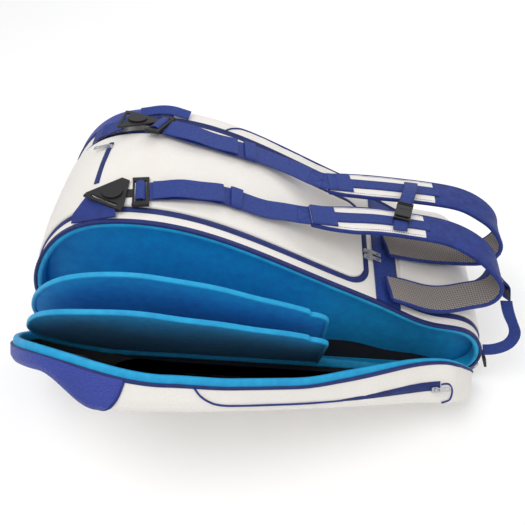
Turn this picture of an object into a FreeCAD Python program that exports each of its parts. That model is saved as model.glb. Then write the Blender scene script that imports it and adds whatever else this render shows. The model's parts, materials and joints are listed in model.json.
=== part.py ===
import FreeCAD, Part
import math
import os
from FreeCAD import Vector

# Racket tournament bag, standing on its belly with the strap side up.
# X runs along the bag from the wide head end to the narrow handle end, Y across it from the
# open side to the closed side, Z up.  The origin is the centre of the flat belly.

# ---- driving dimensions, millimetres ----
HALF_WIDTH = 134.5          # body half width between the two side zips
LID_NEAR = -100.0           # edges of the middle lid across the bag
LID_FAR = 86.0
LID_END = 160.0             # narrow end of the lid
WALL = 4.0                  # foam-backed cloth wall
BOARD = 5.2                 # padded wall between two compartments
NECK_FROM = 232.0           # wide end of the pocket over the narrow end
TRAY_DEPTH = 42.0           # depth of each clamshell tray
OPEN_ANGLE = 41.5           # the open tray leans out by this much
HINGE_Z = 18.0              # height of the tray's fold above the floor
HINGE_ROOM = 22.0           # the body is cut back by this radius round the fold
FLOOR_GAP = 0.4             # lowest tray cloth above the floor
DIVIDER = 5.0               # padded divider
DIVIDER_INSET = -10.5       # divider edge inside the outline
DIVIDER_END = 98.0          # dividers stop here
PAD_THICK = 10.0            # shoulder pad
PAD_WIDTH = 58.0
WEBBING = 42.0              # main webbing width
WEB_THICK = 2.4
NARROW_WEB = 24.0           # chest strap
LIFTER_WEB = 20.0           # load lifter
FIT = 0.06                  # radial clearance of pins

# Outline of the bag in X, Z, from the belly round the narrow end, over the spine to the head.
BELLY_FROM = -150.0
BELLY_TO = 250.0
OUTLINE = [
    (BELLY_TO, 0), (296, 2.2), (340, 9), (384, 45), (388, 68), (350, 138), (290, 151),
    (210, 188), (110, 238), (0, 293), (-120, 341), (-220, 353), (-300, 334), (-362, 270),
    (-390, 165), (-350, 70), (-270, 12), (-210, 3.2), (BELLY_FROM, 0),
]
OUTLINE_STEPS = 44

# Strap routes, X, Y, Z of the middle of the strap.
PAD_A = [
    (62, -40, 302), (114, -31, 290), (174, -17, 278), (240, -12, 267), (300, -15, 259),
    (348, -36, 250), (376, -60, 236), (390, -71, 214), (382, -77, 190), (352, -78, 174),
    (309, -84, 166), (272, -90, 173), (240, -94, 187), (204, -101, 205),
]
PAD_B = [
    (93, 57, 292), (124, 62, 287), (180, 71, 278), (245, 79, 268), (301, 80, 262),
    (346, 74, 256), (378, 55, 248), (398, 34, 234), (405, 22, 214), (394, 18, 192),
    (368, 24, 176), (332, 30, 167), (290, 26, 172), (256, 20, 181), (206, 6, 201),
]
WEB_A = [
    (-192, -71, 362), (-160, -66, 361), (-115, -57, 354), (-70, -47, 340), (-18, -46, 320),
    (24, -41, 308), (59, -40, 303),
]
WEB_B = [
    (-188.5, 90.2, 367.5), (-150, 79, 363), (-110, 77, 352), (-70, 80, 340), (-25, 85, 323),
    (40, 73, 303), (84, 59, 294.5),
]
LIFTER_A = [
    (408, -96, 185), (413, -101.5, 172), (425, -112, 150), (436, -120, 126), (431, -126, 107),
    (415, -129, 94), (397, -128, 86), (390.5, -127, 84),
]
LIFTER_B = [(410, 11, 183), (409, 8, 174), (404, 1, 152), (396, -4, 132), (383, -8, 121)]
CHEST_B = [(246, 92, 276.6), (243, 74, 281.5), (236, 50, 285), (229.1, 27.4, 284.2)]
CHEST_A = [(217.2, -16.4, 281.6), (215.8, -26, 281.2), (214.3, -38, 280.4)]

# Swivel buckles: disc centre, direction of the strap, direction of the sewn tab (degrees
# about the buckle's normal), and the normal.
SWIVEL_A = ((-248, -80, 359.0), 9.0, -114.0, (0, 0, 1))
SWIVEL_B = ((-243, 107, 363.5), -17.0, 180.0, (0, 0.2, 0.98))

# Zip sliders: beside which outline point, place across the bag, height of the tape over the
# outline, and +1 where the pull lies towards the belly's narrow end, -1 towards the head.
LID_SLIDERS = {"lid_far_way": -28.0, "lid_near_way": -41.0}
LID_SLIDER_X = 166.2
TAPE_LID = 3.4
TAPE_HEAD = 7.2
TAPE_POCKET = 1.8
POCKET_OFF = 13.6           # tray pocket slider behind the rim
POCKET_LEAN = 0.09          # its zip leans towards the rim by this much

# Chest strap: direction from the near pad to the far pad, and the middle of its buckle.
CHEST_WAY = (0.262, 0.965, 0)
CHEST_MIDDLE = (223.9, 8.2, 283.2)


# ---- helpers ----
def belly_to_belly(points):
    """Smooth curve through the points that leaves and meets the belly level."""
    level = Vector(1, 0, 0)
    curve = Part.BSplineCurve()
    curve.interpolate(Points=points, Scale=False, InitialTangent=level, FinalTangent=level)
    return curve


BODY_CURVE = belly_to_belly([Vector(x, 0, z) for x, z in OUTLINE])


def grown_points(grow):
    """The outline's points, moved outward along the outline's normal by grow."""
    first = BODY_CURVE.FirstParameter
    span = BODY_CURVE.LastParameter - first
    lengths = BODY_CURVE.length()
    points = []
    for step in range(OUTLINE_STEPS + 1):
        if step == OUTLINE_STEPS:
            u = first + span
        else:
            u = BODY_CURVE.parameterAtDistance(lengths * step / OUTLINE_STEPS, first)
        at = BODY_CURVE.value(u)
        way = BODY_CURVE.tangent(u)[0]
        points.append(Vector(at.x + grow * way.z, 0, at.z - grow * way.x))
    return points


def outline_wire(grow, y):
    points = [Vector(p.x, y, p.z) for p in grown_points(grow)]
    curve = belly_to_belly(points)
    belly = Part.makeLine(points[-1], points[0])
    return Part.Wire([curve.toShape(), belly])


def outline_place(near_x, near_z, y, grow):
    """Point on the grown outline beside (near_x, near_z), with its outward normal and tangent."""
    u = BODY_CURVE.parameter(Vector(near_x, 0, near_z))
    at = BODY_CURVE.value(u)
    way = BODY_CURVE.tangent(u)[0]
    normal = Vector(way.z, 0, -way.x)
    return Vector(at.x, y, at.z) + normal * grow, normal, way


def slab(grow, y_from, y_to):
    face = Part.Face(outline_wire(grow, y_from))
    return face.extrude(Vector(0, y_to - y_from, 0))


def ring(outer, inner, y_from, y_to):
    return slab(outer, y_from, y_to).cut(slab(inner, y_from - 1, y_to + 1))


def box(x0, x1, y0, y1, z0, z1):
    return Part.makeBox(x1 - x0, y1 - y0, z1 - z0, Vector(x0, y0, z0))


def rounded_plan(x0, x1, y0, y1, radius, z0=-50, z1=450):
    """Upright prism, a rectangle in plan with its two corners at x1 rounded."""
    block = box(x0, x1, y0, y1, z0, z1)
    edges = []
    for edge in block.Edges:
        ends = [v.Point for v in edge.Vertexes]
        upright = abs(ends[0].z - ends[1].z) > 1
        if upright and abs(ends[0].x - x1) < 0.01:
            edges.append(edge)
    return block.makeFillet(radius, edges)


def unit(v):
    return Vector(v).normalize()


def ribbon(route, across, width, thickness):
    """Flat strap along route; across is the direction of its width, one or one per point."""
    points = [Vector(*p) for p in route]
    sections = []
    count = len(points)
    for i, at in enumerate(points):
        before = points[max(i - 1, 0)]
        after = points[min(i + 1, count - 1)]
        way = unit(after - before)
        side = Vector(*(across[i] if isinstance(across, list) else across))
        side = unit(side - way * side.dot(way))
        up = side.cross(way)
        wide = width[i] if isinstance(width, list) else width
        s = side * (wide / 2)
        t = up * (thickness / 2)
        corners = [at - s - t, at + s - t, at + s + t, at - s + t]
        sections.append(Part.makePolygon(corners + [corners[0]]))
    return Part.makeLoft(sections, True, True)


def placed(shape, at, along, normal):
    """Move a shape drawn along +X with +Z up to a place, a direction and a normal."""
    z = unit(normal)
    x = Vector(*along)
    x = unit(x - z * x.dot(z))
    y = z.cross(x)
    turn = FreeCAD.Matrix(
        x.x, y.x, z.x, at[0],
        x.y, y.y, z.y, at[1],
        x.z, y.z, z.z, at[2],
        0, 0, 0, 1)
    out = shape.copy()
    out.transformShape(turn)
    return out


def export(name, shape):
    if not shape.isValid():
        print("INVALID", name)
    if len(shape.Solids) > 1:
        print("solids", name, len(shape.Solids))
    if len(shape.Solids) == 1:
        shape = shape.Solids[0]
    shape.exportStep("parts/" + name + ".step")
    b = shape.BoundBox
    print("%-24s %9.1f cm3  %6.1f %6.1f  %6.1f %6.1f  %6.1f %6.1f" % (
        name, shape.Volume / 1000, b.XMin, b.XMax, b.YMin, b.YMax, b.ZMin, b.ZMax))


# ---- body of the bag ----
def hinge_room(side):
    """The space round the fold of the tray on this side (-1 near, +1 far)."""
    start = Vector(-345, side * HALF_WIDTH, HINGE_Z)
    return Part.makeCylinder(HINGE_ROOM, 345 + 362, start, Vector(1, 0, 0))


def span(side, inner, outer):
    """Y limits of something between two distances from the middle, on one side."""
    return sorted((side * inner, side * outer))


def side_gusset(side, inner):
    y0, y1 = span(side, inner, HALF_WIDTH - 0.5)
    return ring(0, -WALL, y0, y1).cut(hinge_room(side))


def rim_tape(side):
    y0, y1 = span(side, HALF_WIDTH - 7.5, HALF_WIDTH - 0.1)
    return ring(1.6, 0.0, y0, y1).cut(hinge_room(side))


def gusset_lining(side, inner):
    y0, y1 = span(side, inner, HALF_WIDTH - 1.0)
    return ring(-WALL, -WALL - 4.5, y0, y1).cut(hinge_room(side))


def back_wall(y_from, y_to):
    return slab(-WALL - 0.2, y_from, y_to)


def middle_shell(y_from, y_to):
    shell = ring(0, -WALL, y_from, y_to)
    mouth = box(-420, LID_END - 14, LID_NEAR + 12, LID_FAR - 12, 175, 400)
    return shell.cut(mouth)


def lid_panel():
    skin = ring(5.0, 0.8, LID_NEAR, LID_FAR)
    plan = rounded_plan(-450, LID_END, LID_NEAR, LID_FAR, 34)
    return skin.common(plan).cut(box(-450, 420, -200, 200, -10, 150))


def lid_zip_tape():
    skin = ring(3.4, 0.2, LID_NEAR - 11.5, LID_FAR + 11.5)
    outer = rounded_plan(-450, LID_END + 11.5, LID_NEAR - 11.5, LID_FAR + 11.5, 45)
    inner = rounded_plan(-460, LID_END + 0.3, LID_NEAR - 0.3, LID_FAR + 0.3, 34.3)
    tape = skin.common(outer).cut(inner)
    return tape.cut(box(-450, 420, -200, 200, -10, 150))


def neck_region(edge, low):
    return box(NECK_FROM, 420, LID_NEAR - edge, LID_FAR + edge, low, 300)


def neck_pocket_panel():
    return ring(4.6, 0.4, LID_NEAR, LID_FAR).common(neck_region(0, 100))


def neck_pocket_tape():
    skin = ring(3.2, 0.2, LID_NEAR - 12, LID_FAR + 12)
    return skin.common(neck_region(11.5, 87)).cut(neck_region(0.3, 99.7))


def anchor_band():
    skin = ring(3.2, 0.2, -HALF_WIDTH + 8, HALF_WIDTH - 8)
    return skin.common(box(179, 227, -200, 200, 120, 260))


def head_pocket_tape():
    skin = ring(7.2, 5.0, -48, 58)
    return skin.common(box(-286, -270, -200, 200, 200, 400))


def base_stiffener():
    return box(-140, 240, -100, 86, WALL + 0.2, WALL + 3.2)


# ---- trays, drawn closed on the near side, then opened ----
def tray_form(grow, front, back):
    """Tray block: straight by the rim, drawn in towards the outer panel."""
    rim = -HALF_WIDTH - front
    deep = -HALF_WIDTH - back
    depth = deep - rim
    wires = [
        outline_wire(grow, rim),
        outline_wire(grow - 1.0, rim + depth * 0.60),
        outline_wire(grow - 6.0, rim + depth * 0.86),
        outline_wire(grow - 17.0, deep),
    ]
    return Part.makeLoft(wires, True, True)


def opened(shape, angle=OPEN_ANGLE):
    out = shape.copy()
    out.rotate(Vector(0, -HALF_WIDTH, HINGE_Z), Vector(1, 0, 0), angle)
    return out


def above_floor(shape, height=FLOOR_GAP):
    return shape.cut(box(-500, 500, -700, 200, -400, height))


def tray_shell():
    outer = above_floor(opened(tray_form(0, 0.8, TRAY_DEPTH)))
    inner = opened(tray_form(-WALL, -3.0, TRAY_DEPTH - WALL))
    return outer.cut(above_floor(inner, FLOOR_GAP + WALL))


def tray_rim_tape():
    tape = ring(1.6, 0.0, -HALF_WIDTH - 8.0, -HALF_WIDTH - 0.8)
    return above_floor(opened(tape))


def tray_edge_binding():
    edge = ring(-WALL - 0.1, -WALL - 4.0, -HALF_WIDTH - 13.0, -HALF_WIDTH - 1.0)
    return above_floor(opened(edge), FLOOR_GAP + WALL + 0.2)


def tray_lining():
    sheet = slab(-24, -HALF_WIDTH - TRAY_DEPTH + WALL + 2.0, -HALF_WIDTH - TRAY_DEPTH + WALL + 0.4)
    return above_floor(opened(sheet), FLOOR_GAP + WALL + 4)


def corner_patch():
    skin = tray_form(1.4, 0.8, TRAY_DEPTH + 1.4).cut(tray_form(0.2, 0.8, TRAY_DEPTH + 0.2))
    skin = skin.common(box(-450, -212, -300, -HALF_WIDTH - 8.5, 90, 420))
    return opened(skin)


def tray_pocket_place():
    """Where the tray pocket's slider sits while the tray is closed, its normal and its way."""
    at, up, way = outline_place(284, 153, -HALF_WIDTH - POCKET_OFF, TAPE_POCKET)
    return at, up, unit(way * -1 + Vector(0, POCKET_LEAN, 0))


def tray_pocket_tape():
    at, up, way = tray_pocket_place()
    strip = ring(TAPE_POCKET, -5, -HALF_WIDTH - 36.0, -HALF_WIDTH - 8.2)
    run = placed(box(-166, 16, -4.7, 4.7, -20, 20), at, way, up)
    strip = strip.common(run)
    return opened(strip.cut(tray_form(0.15, 0.8, TRAY_DEPTH + 0.15)))


def far_side(shape):
    """The same tray, closed, on the far side."""
    out = above_floor(opened(shape, -OPEN_ANGLE), 0)
    return out.mirror(Vector(0, 0, 0), Vector(0, 1, 0))


def divider(axis_y, axis_z, angle):
    sheet = slab(DIVIDER_INSET, axis_y - DIVIDER / 2, axis_y + DIVIDER / 2)
    sheet = sheet.common(box(-450, DIVIDER_END, -300, 0, axis_z + 9, 400))
    corner = []
    for edge in sheet.Edges:
        ends = [v.Point for v in edge.Vertexes]
        across = len(ends) == 2 and abs(ends[0].y - ends[1].y) > 1
        if across and ends[0].x > DIVIDER_END - 1 and ends[0].z > 100:
            corner.append(edge)
    sheet = sheet.makeFillet(32, corner)
    sheet.rotate(Vector(0, axis_y, axis_z), Vector(1, 0, 0), angle)
    return sheet


# ---- straps ----
def swivel_plate():
    """Triangular plate, bar towards -X, hole for the stud at the origin."""
    corners = [Vector(-28, -34, 1.9), Vector(-28, 34, 1.9), Vector(-20, 34, 1.9), Vector(36, 7, 1.9),
               Vector(36, -7, 1.9), Vector(-20, -34, 1.9)]
    face = Part.Face(Part.makePolygon(corners + [corners[0]]))
    plate = face.extrude(Vector(0, 0, 3.4))
    slot = box(-23.5, -18.5, -24, 24, 0, 8)
    hole = Part.makeCylinder(6 + FIT, 8, Vector(0, 0, 0))
    return plate.cut(slot).cut(hole)


def swivel_frame():
    """Ladder frame with the tongue, stud and disc that hold the plate."""
    frame = box(30, 56, -32, 32, 0.0, 5.6)
    frame = frame.cut(box(33.5, 39.5, -24, 24, -1, 8)).cut(box(45, 51.5, -24, 24, -1, 8))
    tongue = box(-10, 31, -9, 9, 0.0, 1.5)
    stud = Part.makeCylinder(6, 7.0, Vector(0, 0, 0))
    disc = Part.makeCylinder(16, 2.6, Vector(0, 0, 5.6))
    cut_back = box(26, 41, -30, 30, 1.6, 8)
    cut_back = cut_back.common(Part.makeCylinder(41, 8, Vector(0, 0, 0)))
    return frame.cut(cut_back).fuse([tongue, stud, disc]).removeSplitter()


def turned(shape, swivel, angle):
    at, _, _, normal = swivel
    out = shape.copy()
    out.rotate(Vector(0, 0, 0), Vector(0, 0, 1), angle)
    return placed(out, at, (1, 0, 0), normal)


def strap_tab(rows):
    """Sewn tab through rows of left and right edge points, from its seam to the bar it holds."""
    lift = Vector(0, 0, 2.0)
    sections = []
    for left, right in rows:
        a = Vector(*left)
        b = Vector(*right)
        sections.append(Part.makePolygon([a, b, b + lift, a + lift, a]))
    return Part.makeLoft(sections, True, True)


def tab_row_across(left_x, right_x, y, grow):
    """A row of a tab that lies across the bag's outline at one place Y."""
    left = outline_place(left_x, 338, y, grow)[0]
    right = outline_place(right_x, 352, y, grow)[0]
    return left, right


def near_strap_tab():
    rows = [tab_row_across(-306, -234, -126.5, 3.8), tab_row_across(-304, -237, -112.5, 8.0)]
    return strap_tab(rows + [((-287, -76, 353.5), (-246, -112, 358.6))])


def far_strap_tab():
    base_x = -322
    rows = []
    for x, grow in ((base_x, 4.4), (-296, 7.5)):
        near = outline_place(x, 320, 88, grow)[0]
        far = outline_place(x, 320, 124, grow)[0]
        rows.append((near, far))
    return strap_tab(rows + [((-264, 85, 362.0), (-264, 128, 356.5))])


def female_buckle():
    shell = box(-17, 0, -14, 14, -4, 4)
    room = box(-13, 1, -10.4, 10.4, -2.4, 2.4)
    windows = box(-10, -4, -15, 15, -2.2, 2.2)
    bar = box(-24, -17, -14, 14, -3, 3).cut(box(-21.5, -18, -11, 11, -4, 4))
    return shell.cut(room).cut(windows).fuse(bar).removeSplitter()


def male_buckle():
    head = box(1.0, 9, -13, 13, -3.6, 3.6)
    middle = box(-9, 1.5, -1.6, 1.6, -1.9, 1.9)
    bar = box(9, 19, -14, 14, -3, 3).cut(box(11, 13.4, -11.8, 11.8, -4, 4))
    bar = bar.cut(box(15, 17.4, -11.8, 11.8, -4, 4))
    return head.fuse([middle, bar]).removeSplitter()


def buckle_prong(side):
    """Sprung prong of the side-release buckle, with its thumb barb; its root is at X 0.7."""
    arm = box(-11, 0.7, side * 7.6 - 1.5, side * 7.6 + 1.5, -1.9, 1.9)
    barb = box(-9.4, -4.8, side * 9.4 - 0.8, side * 9.4 + 0.8, -1.7, 1.7)
    return arm.fuse(barb).removeSplitter()


def ladder_lock():
    """Load lifter's ladder lock: a frame with two slots, pivot bar at the origin."""
    frame = box(-4, 15, -13, 13, -2.2, 2.2)
    frame = frame.cut(box(1.8, 5.2, -10.8, 10.8, -4, 4)).cut(box(8.4, 11.6, -10.8, 10.8, -4, 4))
    return frame


def zip_slider():
    shoe = box(-6, 6, -4.4, 4.4, 0.4, 3.6)
    edges = [e for e in shoe.Edges if abs(e.Vertexes[0].Z - e.Vertexes[1].Z) > 1]
    shoe = shoe.makeFillet(2.4, edges)
    bail = box(-2.5, 2.5, -1.2, 1.2, 3.4, 7.2)
    hole = Part.makeCylinder(0.8 + FIT, 8, Vector(0, -4, 5.4), Vector(0, 1, 0))
    return shoe.fuse(bail).cut(hole).removeSplitter()


def zip_pull():
    pin = Part.makeCylinder(0.8, 6.4, Vector(0, -3.2, 5.4), Vector(0, 1, 0))
    arms = [box(-1.2, 7.6, s * 2.5 - 0.7, s * 2.5 + 0.7, 4.6, 6.2) for s in (-1, 1)]
    plate = box(6.4, 27, -3.6, 3.6, 4.7, 6.1).cut(box(17, 24, -1.8, 1.8, 4, 7))
    return plate.fuse([pin] + arms).removeSplitter()


def grab_handle():
    """Webbing handle on the top of the far tray, a low arch between two sewn ends."""
    route = [(-252, 147, 357.4), (-236, 149, 361), (-215, 152, 366.5), (-192, 154, 369),
             (-172, 152, 367), (-154, 149, 361), (-140, 147, 355.5)]
    return ribbon(route, (0, 0.97, 0.24), 24, 3.6)


def make_all():
    for side, name, inner in ((-1, "near", 110.2), (1, "far", 95.8)):
        export(name + "_gusset", side_gusset(side, inner if side > 0 else 104.8))
        if name == "near":
            export(name + "_gusset_lining", gusset_lining(side, inner))
        export(name + "_rim_tape", rim_tape(side))
    export("near_back_wall", back_wall(-110.0, -110.0 + BOARD))
    export("far_back_wall", back_wall(95.6 - BOARD, 95.6))
    export("middle_shell", middle_shell(-104.7, 95.7))
    export("lid_panel", lid_panel())
    export("lid_zip_tape", lid_zip_tape())
    export("head_pocket_tape", head_pocket_tape())
    export("neck_pocket_panel", neck_pocket_panel())
    export("neck_pocket_tape", neck_pocket_tape())
    export("anchor_band", anchor_band())
    export("base_stiffener", base_stiffener())

    near = {
        "tray_shell": tray_shell(),
        "tray_rim_tape": tray_rim_tape(),
        "tray_edge_binding": tray_edge_binding(),
        "tray_lining": tray_lining(),
    }
    for name, shape in near.items():
        export("near_" + name, shape)
        if name != "tray_lining":
            export("far_" + name, far_side(shape))
    export("near_corner_patch", corner_patch())
    export("near_pocket_tape", tray_pocket_tape())
    export("divider_one", divider(-126.0, 25.0, 17.0))
    export("divider_two", divider(-133.0, 22.0, 26.0))

    for name, route in (("a", PAD_A), ("b", PAD_B)):
        count = len(route)
        widths = [40.0] + [PAD_WIDTH] * (count - 2) + [44.0]
        export("shoulder_pad_" + name, ribbon(route, (0, 1, 0), widths, PAD_THICK))
    export("webbing_a", ribbon(WEB_A, (0, 1, 0), WEBBING, WEB_THICK))
    export("webbing_b", ribbon(WEB_B, (0, 1, 0), WEBBING, WEB_THICK))
    export("load_lifter_a", ribbon(LIFTER_A, (-0.5, 0.3, 0.2), LIFTER_WEB, 2.0))
    export("load_lifter_b", ribbon(LIFTER_B, (0, 1, 0), LIFTER_WEB, 2.0))
    export("chest_webbing_b", ribbon(CHEST_B, (1, 0, 0), NARROW_WEB, 2.0))
    export("chest_webbing_a", ribbon(CHEST_A, (1, 0, 0), NARROW_WEB, 2.0))

    for name, swivel in (("a", SWIVEL_A), ("b", SWIVEL_B)):
        _, strap_way, tab_way, _ = swivel
        export("swivel_frame_" + name, turned(swivel_frame(), swivel, strap_way))
        export("swivel_plate_" + name, turned(swivel_plate(), swivel, tab_way + 180))
    export("strap_tab_a", near_strap_tab())
    export("strap_tab_b", far_strap_tab())
    across = (0, 0, 1)
    export("chest_buckle_female", placed(female_buckle(), CHEST_MIDDLE, CHEST_WAY, across))
    export("chest_buckle_male", placed(male_buckle(), CHEST_MIDDLE, CHEST_WAY, across))
    for name, side in (("left", -1), ("right", 1)):
        export("buckle_prong_" + name, placed(buckle_prong(side), CHEST_MIDDLE, CHEST_WAY, across))
    export("ladder_lock_a", placed(ladder_lock(), (403.5, -88, 207), (0.35, -0.35, -0.6), (1, 0, 0.4)))
    export("ladder_lock_b", placed(ladder_lock(), (412, 20, 205), (0.05, -0.35, -0.8), (1, 0, 0.1)))
    export("lifter_clip_a", placed(ladder_lock(), (395.5, -131, 70.5), (0.3, -0.2, -0.9), (1, 0, 0.3)))
    for name, y in LID_SLIDERS.items():
        at, up, way = outline_place(LID_SLIDER_X, 212, y, TAPE_LID)
        export(name + "_slider", placed(zip_slider(), at, way * -1, up))
        export(name + "_pull", placed(zip_pull(), at, way * -1, up))
    at, up, way = outline_place(-278, 342, 47, TAPE_HEAD)
    export("head_pocket_slider", placed(zip_slider(), at, way, up))
    export("head_pocket_pull", placed(zip_pull(), at, way, up))
    at, up, way = outline_place(384, 46, -130.4, 1.7)
    export("near_main_slider", placed(zip_slider(), at, way * -1, up))
    export("near_main_pull", placed(zip_pull(), at, way * -1, up))
    at, up, way = tray_pocket_place()
    export("tray_pocket_slider", opened(placed(zip_slider(), at, way, up)))
    export("tray_pocket_pull", opened(placed(zip_pull(), at, way, up)))
    export("grab_handle", grab_handle())
    tab = Part.makeBox(4, 20, 18, Vector(-2, -10, 0))
    tab = tab.fuse(Part.makeCylinder(2.8, 20, Vector(0, -10, 18), Vector(0, 1, 0)))
    at, up, way = outline_place(368, 125, 122, 1.9)
    export("far_end_tab", placed(tab.removeSplitter(), at, way, up))


os.makedirs("parts", exist_ok=True)
make_all()
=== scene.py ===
import json
import math
import bmesh
import bpy
import numpy as np
from mathutils import Matrix, Vector


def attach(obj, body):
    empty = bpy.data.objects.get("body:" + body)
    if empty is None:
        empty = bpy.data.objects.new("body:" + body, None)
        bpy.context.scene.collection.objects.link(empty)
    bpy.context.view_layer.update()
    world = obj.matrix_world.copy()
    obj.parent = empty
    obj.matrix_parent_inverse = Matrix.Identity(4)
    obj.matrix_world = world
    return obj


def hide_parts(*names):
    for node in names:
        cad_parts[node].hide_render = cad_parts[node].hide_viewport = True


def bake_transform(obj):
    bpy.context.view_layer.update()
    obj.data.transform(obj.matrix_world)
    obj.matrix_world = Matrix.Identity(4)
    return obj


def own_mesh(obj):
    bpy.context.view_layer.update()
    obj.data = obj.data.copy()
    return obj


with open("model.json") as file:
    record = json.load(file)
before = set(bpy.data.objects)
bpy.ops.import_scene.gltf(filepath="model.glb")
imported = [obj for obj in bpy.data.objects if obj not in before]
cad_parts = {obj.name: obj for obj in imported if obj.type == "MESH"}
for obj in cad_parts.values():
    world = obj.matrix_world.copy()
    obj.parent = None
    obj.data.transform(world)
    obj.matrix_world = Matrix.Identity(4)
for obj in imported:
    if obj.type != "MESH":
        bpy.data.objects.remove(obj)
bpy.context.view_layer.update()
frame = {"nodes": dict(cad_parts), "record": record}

MM = 0.001
HALF = 134.5                # body half width between its two side zips
HINGE_Z = 18.0              # height of a tray's fold
OPEN = math.radians(41.5)   # the near tray leans out by this
DEPTH = 42.0                # tray depth
OUTLINE = [
    (250, 0), (296, 2.2), (340, 9), (384, 45), (388, 68), (350, 138), (290, 151), (210, 188),
    (110, 238), (0, 293), (-120, 341), (-220, 353), (-300, 334), (-362, 270), (-390, 165),
    (-350, 70), (-270, 12), (-210, 3.2), (-150, 0)]


# ---- curves ----
def spline(points, count, level=False):
    """Cubic through the points by chord length, ends free or level along +X, resampled to
    count points that are the same length apart."""
    p = np.asarray(points, float)
    h = np.linalg.norm(np.diff(p, axis=0), axis=1)
    t = np.concatenate([[0], np.cumsum(h)])
    n = len(p)
    a = np.zeros((n, n))
    b = np.zeros_like(p)
    k = np.arange(1, n - 1)
    a[k, k - 1] = 1 / h[:-1]
    a[k, k + 1] = 1 / h[1:]
    a[k, k] = 2 * (1 / h[:-1] + 1 / h[1:])
    slope = np.diff(p, axis=0) / h[:, None] ** 2
    b[k] = 3 * (slope[:-1] + slope[1:])
    if level:
        a[0, 0] = a[-1, -1] = 1
        b[0, 0] = b[-1, 0] = 1
    else:
        a[0, :2] = 2 / h[0], 1 / h[0]
        a[-1, -2:] = 1 / h[-1], 2 / h[-1]
        b[0] = 3 * slope[0]
        b[-1] = 3 * slope[-1]
    d = np.linalg.solve(a, b)
    fine = np.linspace(0, t[-1], 60 * n)
    k = np.clip(np.searchsorted(t, fine, side="right") - 1, 0, n - 2)
    s = ((fine - t[k]) / h[k])[:, None]
    hk = h[k][:, None]
    c = ((2 * s**3 - 3 * s**2 + 1) * p[k] + (s**3 - 2 * s**2 + s) * hk * d[k]
         + (3 * s**2 - 2 * s**3) * p[k + 1] + (s**3 - s**2) * hk * d[k + 1])
    return even(c, count)


def even(c, count):
    """The same line as count points an equal length apart."""
    run = travel(c)
    at = np.linspace(0, run[-1], count)
    return np.stack([np.interp(at, run, c[:, i]) for i in range(c.shape[1])], -1)


def travel(line):
    """Length walked along a line at each of its points."""
    return np.concatenate([[0], np.cumsum(np.linalg.norm(np.diff(line, axis=0), axis=1))])


def full(c, power):
    """A sine or cosine raised to a power below 1, its sign kept, so a round fills out."""
    return np.sign(c) * np.abs(c) ** power


def unit(v):
    return v / np.maximum(np.linalg.norm(v, axis=-1, keepdims=True), 1e-12)


def smooth(x, a, b):
    """0 before a, 1 after b, an S between."""
    t = np.clip((x - a) / (b - a), 0, 1)
    return t * t * (3 - 2 * t)


def ripple(a, b, seed=0.0):
    """Soft folds: sum of sines of two coordinates in millimetres, about -1 to 1."""
    return (np.sin(a * 0.021 + b * 0.009 + seed) + np.sin(a * 0.047 - b * 0.031 + 2.1 * seed)
            + 0.6 * np.sin(a * 0.083 + b * 0.067 + 3.7 * seed)
            + 0.4 * np.sin(a * 0.13 - b * 0.11 + 5.3 * seed)) / 2.4


UP = spline(OUTLINE, 340, True)
BELLY = np.stack([np.linspace(-150, 250, 62)[1:-1], np.zeros(60)], -1)
RING = np.concatenate([UP, BELLY])
ring_way = unit(np.roll(RING, -1, 0) - np.roll(RING, 1, 0))
RING_N = np.stack([ring_way[:, 1], -ring_way[:, 0]], -1)
UP_S = travel(UP)
UP_N = RING_N[:len(UP)]
END_I = int(np.argmax(UP[:, 0]))
HEAD_I = int(np.argmin(UP[:, 0]))


def s_top(x):
    """Length along the outline, from the belly's narrow end, to the place over x on top."""
    return np.interp(-np.asarray(x, float), -UP[END_I:HEAD_I, 0], UP_S[END_I:HEAD_I])


def lay(s, y, h):
    """Point on the outline at length s, across at y, raised by h along the outline's normal."""
    s = np.asarray(s, float)
    x, z = (np.interp(s, UP_S, UP[:, i]) for i in (0, 1))
    nx, nz = (np.interp(s, UP_S, UP_N[:, i]) for i in (0, 1))
    return np.stack(np.broadcast_arrays(x + nx * h, y + 0 * s, z + nz * h), -1)


MIDDLE = np.array([0.0, 140.0])     # middle of the side panels


# ---- meshes ----
def faces_of(nu, nv, loop_u, loop_v):
    u, v = np.meshgrid(np.arange(nu - (not loop_u)), np.arange(nv - (not loop_v)), indexing="ij")
    u2, v2 = (u + 1) % nu, (v + 1) % nv
    return np.stack([u * nv + v, u2 * nv + v, u2 * nv + v2, u * nv + v2], -1).reshape(-1, 4)


def grid(points, loop_u=False, loop_v=False, uv=None):
    """One patch: points (nu, nv, 3) in millimetres, and its quads."""
    nu, nv = points.shape[:2]
    if uv is None:
        uv = np.zeros((nu, nv, 2))
    return points.reshape(-1, 3), faces_of(nu, nv, loop_u, loop_v), uv.reshape(-1, 2)


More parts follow.
